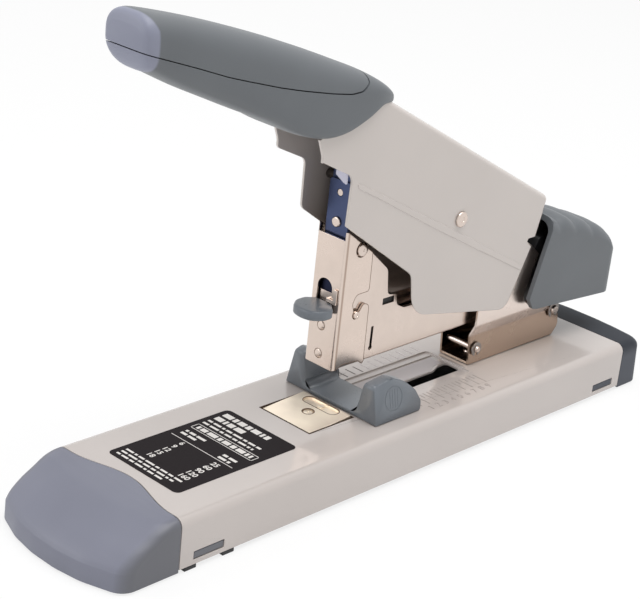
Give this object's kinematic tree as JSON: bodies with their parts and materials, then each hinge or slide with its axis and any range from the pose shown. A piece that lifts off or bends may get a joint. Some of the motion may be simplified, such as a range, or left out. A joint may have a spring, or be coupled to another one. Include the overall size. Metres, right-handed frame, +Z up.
{
  "type": "stapler",
  "caption": "Long-reach desk stapler with a folded steel lever handle, two-part grip, hinged magazine, pull-out loader and sliding paper guide.",
  "frame": {"origin": "centre of the base's outline, on the table under the feet", "axes": "+Y runs along the base from the grip end to the hinge end, +Z is up from the table, +X is to the right seen from the grip end"},
  "size_m": [0.076, 0.3466, 0.2124],
  "materials": {
    "painted_steel": "glossy beige paint",
    "nickel": "warm nickel plate",
    "hard_steel": "ground steel",
    "spring_steel": "bright drawn wire",
    "blued_steel": "dark blue finish",
    "grey_plastic": "fine satin texture",
    "cap_plastic": "fine satin texture",
    "black_plastic": "satin",
    "guide_plastic": "satin",
    "rubber": "matt"
  },
  "bodies": {
    "base": {"base_channel": "painted_steel", "front_cap": "cap_plastic", "rear_cap": "cap_plastic", "bottom_plate": "black_plastic", "foot_1": "rubber", "foot_2": "rubber", "foot_3": "rubber", "foot_4": "rubber", "anvil_plate": "hard_steel", "anvil_rivet": "hard_steel", "hinge_bracket": "nickel", "bracket_rivet_1": "nickel", "bracket_rivet_2": "nickel", "front_cross_rod": "nickel", "front_rod_clip": "hard_steel", "magazine_pivot_pin": "nickel", "pivot_pin_clip": "hard_steel", "handle_pivot_rod": "nickel", "lift_spring": "spring_steel", "return_spring": "spring_steel"},
    "guide": {"paper_guide": "guide_plastic", "guide_retainer": "black_plastic"},
    "magazine": {"magazine_channel": "nickel", "staple_rail": "nickel", "head_cover": "nickel", "upper_pin_right": "nickel", "upper_pin_left": "nickel", "lower_pin_right": "nickel", "lower_pin_left": "nickel"},
    "driver": {"driver_blade": "blued_steel", "driver_carrier": "nickel", "driver_rivet": "nickel"},
    "latch": {"thumb_latch": "grey_plastic", "latch_plate": "nickel"},
    "loader": {"knob_core": "black_plastic", "rear_knob_hood": "grey_plastic", "knob_screw": "hard_steel", "pusher_rod": "hard_steel", "pusher_spring": "spring_steel"},
    "pusher": {"staple_pusher": "black_plastic"},
    "handle": {"handle_frame": "painted_steel", "push_bar": "nickel", "grip_lower": "grey_plastic", "grip_upper": "grey_plastic", "grip_screw_1": "hard_steel", "grip_screw_2": "hard_steel"}
  },
  "joints": [
    {"name": "handle_swing", "type": "hinge", "parent": "base", "child": "handle", "pos_m": [0, 0.0401, 0.1036], "axis": [1, 0, 0], "range_deg": [0, 36], "stiffness_Nm_per_rad": 1, "springref_deg": -34.38},
    {"name": "magazine_swing", "type": "hinge", "parent": "base", "child": "magazine", "pos_m": [0, 0.128, 0.0387], "axis": [1, 0, 0], "range_deg": [0, 7.2], "deforming": ["lift_spring"]},
    {"name": "driver_slide", "type": "slide", "parent": "magazine", "child": "driver", "axis": [0, 0, -1], "range_m": [0, 0.0223]},
    {"name": "latch_slide", "type": "slide", "parent": "magazine", "child": "latch", "axis": [0, 0, 1], "range_m": [0, 0.005], "stiffness_N_per_m": 200, "springref_m": -0.003},
    {"name": "loader_slide", "type": "slide", "parent": "magazine", "child": "loader", "axis": [0, 1, 0], "range_m": [0, 0.1]},
    {"name": "pusher_slide", "type": "slide", "parent": "loader", "child": "pusher", "axis": [0, 1, 0], "range_m": [0, 0.08], "stiffness_N_per_m": 30, "springref_m": -0.05, "deforming": ["pusher_spring"]},
    {"name": "guide_slide", "type": "slide", "parent": "base", "child": "guide", "axis": [0, 1, 0], "range_m": [0, 0.044]}
  ],
  "couplings": [
    {"joint": "magazine_swing", "follows": "handle_swing", "ratio": 0.2},
    {"joint": "driver_slide", "follows": "handle_swing", "m_per_rad": 0.0353}
  ]
}
